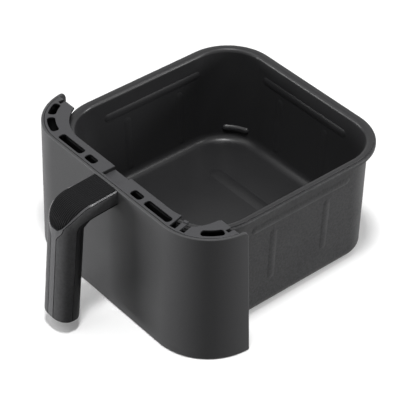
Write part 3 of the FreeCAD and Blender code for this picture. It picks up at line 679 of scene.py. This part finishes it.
    def side_covers(self) -> None:
        """Covers from the strip's edge to the line where the inner cover starts, right and left.

        The upper edge is drawn back from the strip by the gap: a small nudge of the angle moves
        the edge by a length, and the nudge times the gap over that length is the angle for it.
        """
        s = self.lengths()
        low = self.split_angle(s) + self.half_seam()
        high = self.angle_at(s, self.strip_half(s))
        nudge = 0.02
        moved = self.surface(s, high, 0.0) - self.surface(s, high - nudge, 0.0)
        high = high - nudge * self.cover_gap / np.linalg.norm(moved, axis=-1)
        for name, node, ends in (
                ("gloss_right_cover", "handle_right_cover", (low, high)),
                ("gloss_left_cover", "handle_left_cover", (math.pi - high, math.pi - low))):
            piece = Piece(name, Finishes.GLOSS, "gloss_cover", (node,), bevel_mm=self.cover_bevel)
            self.cover(piece, *ends, columns=self.side_columns)

    def inner_cover(self) -> None:
        """Cover round the panel's side of the handle, half a seam short of the side covers."""
        play = self.half_seam()
        split = self.split_angle(self.lengths())
        piece = Piece("matt_inner_cover", Finishes.INNER, "inner_plastic",
                      ("handle_inner_cover",), bevel_mm=self.cover_bevel)
        self.cover(piece, -math.pi - split + play, split - play, columns=self.inner_columns)

    def spine(self) -> None:
        """Satin strip with a window for the insert: two rails beside it, joined below its tip.

        A row holds the left rail, the middle and the right rail; cells of the middle above the
        window's end are left out, and below it the three keep their shares of the strip's width.
        A rail is the chord between its two edges, so its face is flat.
        """
        s = self.lengths()
        outer = self.strip_half(s)
        inner = self.insert_width(np.minimum(s, self.insert_end)) + self.seam
        share = np.where(s <= self.window_end, inner / outer, 0.0)
        share = np.where(share > 0.0, share, share[share > 0.0][-1])
        right = share + (1.0 - share) * np.linspace(0.0, 1.0, self.rail_columns)[None, :]
        middle = share * np.linspace(-1.0, 1.0, self.middle_columns)[None, 1:-1]
        across = np.concatenate([-right[:, ::-1], middle, right], axis=1) * outer
        angle = self.angle_at(np.broadcast_to(s, across.shape), across)
        keep = np.ones((s.size - 1, across.shape[1] - 1), bool)
        rail = self.rail_columns - 1
        keep[s[1:, 0] <= self.window_end, rail:-rail] = False
        foot, head = self.out_at(s, outer), self.out_at(s, share * outer)
        along = (np.abs(across) / outer - share) / (1.0 - share)
        chord = head + (foot - head) * along - self.out_at(s, across)
        piece = Piece("satin_spine", Finishes.SPINE, "satin_spine", ("handle_spine",))
        outside = self.surface(s, angle, 0.0, np.where(along >= 0.0, chord, 0.0))
        piece.make(*shell(outside, self.surface(s, angle, self.thick), keep))

    def insert_stop(self, across: np.ndarray) -> np.ndarray:
        """Length where the insert ends: the tongue's ellipse, cut square at its tip.

        Args:
            across: distances from the middle.

        Returns:
            The last length at each distance.
        """
        bow = np.sqrt(1.0 - (across / self.insert_half) ** 2)
        return np.minimum(self.tip - self.tongue * (1.0 - bow), self.insert_end)

    def insert(self) -> None:
        """Ribbed insert: columns run along the handle, ridges are a raised cosine across.

        The edge rolls down into a groove beside the bezel.
        """
        columns = self.ridges * self.columns_per_ridge + 1
        across = np.linspace(-self.insert_half, self.insert_half, columns)[None, :]
        stop = self.insert_stop(across)
        s = np.linspace(0.0, 1.0, self.insert_rows)[:, None] * stop
        angle = self.angle_at(s, np.broadcast_to(across, s.shape))
        phase = 2.0 * math.pi * self.ridges * (across / (2.0 * self.insert_half) + 0.5)
        wave = 0.5 - 0.5 * np.cos(phase)
        to_edge = np.minimum(self.insert_half - np.abs(across), stop - s)
        flat = smooth(to_edge / self.groove_width)
        raised = self.ridge_height * (wave * flat - 1.0) - self.groove * (1.0 - flat)
        outside = self.surface(s, angle, 0.0, raised)
        inside = self.surface(s, angle, self.insert_depth)
        piece = Piece("ribbed_insert", Finishes.RUBBER, "grip_rubber", ("grip_insert",))
        piece.make(*shell(outside, inside))

    def build(self) -> None:
        """Build the handle's visible pieces."""
        self.side_covers()
        self.inner_cover()
        self.spine()
        self.insert()


@dataclass(frozen=True)
class Lamp:
    """A soft rectangular lamp: its place, the point it faces, width and height, and power.

    Sizes are in metres and watts.
    """

    name: str
    place: Vector
    target: Vector
    size: tuple[float, float]
    watts: float

    def turn(self) -> Vector:
        """Euler angles, in radians, that make the lamp face its target."""
        way = np.array(self.target) - np.array(self.place)
        across = math.hypot(way[0], way[1])
        return (math.atan2(across, -way[2]), 0.0, math.atan2(-way[0], way[1]))

    def hang(self) -> None:
        """Add the lamp to the scene."""
        data = bpy.data.lights.new(self.name, "AREA")
        data.shape = "RECTANGLE"
        data.size, data.size_y = self.size
        data.energy = self.watts
        made = bpy.data.objects.new(self.name, data)
        made.location = self.place
        made.rotation_euler = self.turn()
        bpy.context.scene.collection.objects.link(made)


LAMPS = (
    # High over the front: lights the cap and lays the handle's shadow on the floor.
    Lamp("front_key", (0.35, -0.3, 2.5), (0.0, 0.0, 0.05), (0.35, 0.35), 43.0),
    # Large softbox at the front left: fills the pot.
    Lamp("front_softbox", (-0.5, -1.0, 1.35), (0.0, 0.0, 0.05), (1.2, 1.2), 10.0),
    # Low strip at the left: grades the panel and the grip from left to right.
    Lamp("left_strip", (-2.0, -2.3, 0.25), (0.0, -0.1, 0.06), (1.8, 0.5), 98.0),
    # Behind on the right: lights the pan's right wall; the panel keeps it off the handle.
    Lamp("right_strip", (1.15, 1.1, 0.5), (0.0, 0.0, 0.06), (0.4, 0.4), 17.0),
    # Small, behind on the right and high: mirrored in the rail beside the insert.
    Lamp("edge_spot", (0.77, 0.6, 1.17), (0.0, -0.15, 0.12), (0.22, 0.22), 4.0),
)


@dataclass
class Studio:
    """Pale floor, white surroundings and the camera.

    Sizes are in metres and degrees, the lens and sensor in millimetres. The floor is matt paper
    near the object, where it keeps the shadow, and fades to plain white away from it.
    """

    azimuth: float = 50.26
    elevation: float = 39.35
    eye: Vector = (0.94025, -0.79524, 1.04479)
    lens: float = 151.46
    sensor: float = 36.0
    clip: tuple[float, float] = (0.05, 50.0)
    world_light: float = 0.03
    floor_half: float = 6.0
    floor_near: float = 0.4
    floor_far: float = 1.2
    paper: float = 0.9
    paper_glow: float = 0.12
    paper_bounce: float = 0.06

    def camera(self) -> None:
        """Make the camera and use it."""
        data = bpy.data.cameras.new("camera")
        data.sensor_width = self.sensor
        data.sensor_fit = "HORIZONTAL"
        data.lens = self.lens
        data.clip_start, data.clip_end = self.clip
        made = bpy.data.objects.new("camera", data)
        made.location = self.eye
        made.rotation_euler = (
            math.radians(90.0 - self.elevation), 0.0, math.radians(self.azimuth))
        bpy.context.scene.collection.objects.link(made)
        bpy.context.scene.camera = made

    def surroundings(self) -> None:
        """White to the eye and in reflections, and little light of its own on the object."""
        world = bpy.data.worlds.new("studio")
        bpy.context.scene.world = world
        world.use_nodes = True
        tree = world.node_tree
        tree.nodes.clear()
        strength = add_node(tree, "ShaderNodeMapRange", {
            "Value": self.seen_share(tree), "To Min": self.world_light, "To Max": 1.0})
        back = add_node(tree, "ShaderNodeBackground", {
            "Color": linear(WHITE), "Strength": strength.outputs["Result"]})
        add_node(tree, "ShaderNodeOutputWorld", {"Surface": back.outputs["Background"]})

    @staticmethod
    def seen_share(tree: bpy.types.NodeTree) -> bpy.types.NodeSocket:
        """Tell what is seen from what only lights.

        Args:
            tree: the node tree.

        Returns:
            One for camera, glossy and transmission rays, else nought.
        """
        path = add_node(tree, "ShaderNodeLightPath")
        first = add_node(tree, "ShaderNodeMath", {
            0: path.outputs["Is Camera Ray"], 1: path.outputs["Is Glossy Ray"]},
            operation="MAXIMUM")
        both = add_node(tree, "ShaderNodeMath", {
            0: first.outputs[0], 1: path.outputs["Is Transmission Ray"]}, operation="MAXIMUM")
        return both.outputs[0]

    def white_paper(self) -> bpy.types.Material:
        """Matt paper whose light fades into an even white with the distance from the object.

        Returns:
            The floor's material.
        """
        made = bpy.data.materials.new("white_paper")
        made.use_nodes = True
        tree = made.node_tree
        tree.nodes.clear()
        seen = self.seen_share(tree)
        place = add_node(tree, "ShaderNodeTexCoord").outputs["Object"]
        away = add_node(tree, "ShaderNodeVectorMath", {0: place}, operation="LENGTH")
        reach = {"Value": away.outputs["Value"],
                 "From Min": self.floor_near, "From Max": self.floor_far}
        matt_share = add_node(tree, "ShaderNodeMapRange", {
            **reach, "To Min": self.paper, "To Max": 0.0})
        glow_share = add_node(tree, "ShaderNodeMapRange", {
            **reach, "To Min": self.paper_glow, "To Max": 1.0})
        pale = add_node(tree, "ShaderNodeMapRange", {
            "Value": seen, "To Min": self.paper_bounce, "To Max": matt_share.outputs["Result"]})
        matt = add_node(tree, "ShaderNodeBsdfDiffuse", {"Color": pale.outputs["Result"]})
        lift = add_node(tree, "ShaderNodeMath", {
            0: seen, 1: glow_share.outputs["Result"]}, operation="MULTIPLY")
        glow = add_node(tree, "ShaderNodeEmission", {
            "Color": linear(WHITE), "Strength": lift.outputs[0]})
        both = add_node(tree, "ShaderNodeAddShader", {0: matt.outputs[0], 1: glow.outputs[0]})
        add_node(tree, "ShaderNodeOutputMaterial", {"Surface": both.outputs[0]})
        return made

    def floor(self) -> None:
        """Lay the floor as one square."""
        half = self.floor_half
        corners = [(-half, -half, 0.0), (half, -half, 0.0), (half, half, 0.0), (-half, half, 0.0)]
        mesh = bpy.data.meshes.new("floor")
        mesh.from_pydata(corners, [], [(0, 1, 2, 3)])
        made = bpy.data.objects.new("floor", mesh)
        bpy.context.scene.collection.objects.link(made)
        mesh.materials.append(self.white_paper())


def main() -> None:
    """Dress the nodes, build the new pieces and set up the studio."""
    logging.basicConfig(level=logging.INFO, format="%(name)s: %(message)s")
    bpy.context.scene.view_settings.view_transform = "Standard"
    dress_nodes()
    FrontPanel().build()
    Handle().build()
    studio = Studio()
    studio.camera()
    for lamp in LAMPS:
        lamp.hang()
    studio.surroundings()
    studio.floor()


if __name__ == "__main__":
    main()
